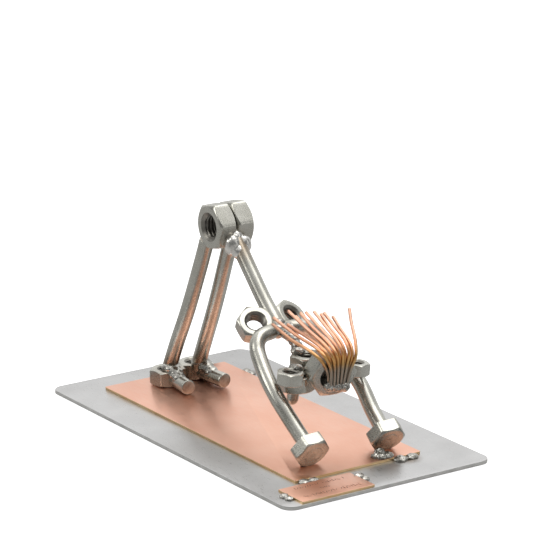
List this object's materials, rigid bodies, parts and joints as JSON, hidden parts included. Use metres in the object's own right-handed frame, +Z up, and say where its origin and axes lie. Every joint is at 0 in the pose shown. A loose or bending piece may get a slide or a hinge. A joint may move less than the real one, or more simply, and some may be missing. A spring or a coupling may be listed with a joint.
{
  "type": "downward_dog_figure_sculpture",
  "caption": "Figure of a person in a downward-dog yoga pose, welded from steel nuts, bent rods and bolts, with copper wire hair, on a copper mat and a steel plate",
  "frame": {"origin": "centre of the base plate's underside", "axes": "+X along the plate from the figure's feet toward its hands, +Y toward the figure's left side, +Z up"},
  "size_m": [0.17, 0.0936, 0.0849],
  "materials": {
    "sheet_steel": "cold-rolled steel sheet, lightly brushed, clear coated",
    "satin_steel": "nuts, bolts and rod tumbled to a satin grey-green, with polished edges",
    "weld_metal": "bare weld metal, wire-brushed bright on top and dark at its edges",
    "sheet_copper": "bare copper sheet, lightly brushed, clear coated",
    "wire_copper": "bare copper wire, heat tinted golden at the bend and grey at the roots"
  },
  "bodies": {
    "root": {"arm_bolt_left": "satin_steel", "arm_bolt_right": "satin_steel", "base_plate": "sheet_steel", "chest_nut_left": "satin_steel", "chest_nut_right": "satin_steel", "ear_nut_left": "satin_steel", "ear_nut_right": "satin_steel", "ear_weld": "weld_metal", "face_nut": "satin_steel", "foot_weld_left": "weld_metal", "foot_weld_right": "weld_metal", "hair_nut": "satin_steel", "hair_root_weld": "weld_metal", "hair_wire_01": "wire_copper", "hair_wire_02": "wire_copper", "hair_wire_03": "wire_copper", "hair_wire_04": "wire_copper", "hair_wire_05": "wire_copper", "hair_wire_06": "wire_copper", "hair_wire_07": "wire_copper", "hair_wire_08": "wire_copper", "hair_wire_09": "wire_copper", "hair_wire_10": "wire_copper", "hair_wire_11": "wire_copper", "hair_wire_12": "wire_copper", "hand_weld_left": "weld_metal", "heel_nut_left": "satin_steel", "heel_nut_right": "satin_steel", "hip_nut_left": "satin_steel", "hip_nut_right": "satin_steel", "hip_weld": "weld_metal", "leg_rod_left": "satin_steel", "leg_rod_right": "satin_steel", "mat": "sheet_copper", "mat_tack_1": "weld_metal", "mat_tack_2": "weld_metal", "mat_tack_3": "weld_metal", "mat_tack_4": "weld_metal", "neck_nut": "satin_steel", "neck_weld": "weld_metal", "nose_pin": "satin_steel", "plaque": "sheet_copper", "plaque_tack_1": "weld_metal", "plaque_tack_2": "weld_metal", "shoulder_weld": "weld_metal", "toe_rod_left": "satin_steel", "toe_rod_right": "satin_steel", "torso_rod": "satin_steel"}
  },
  "joints": []
}
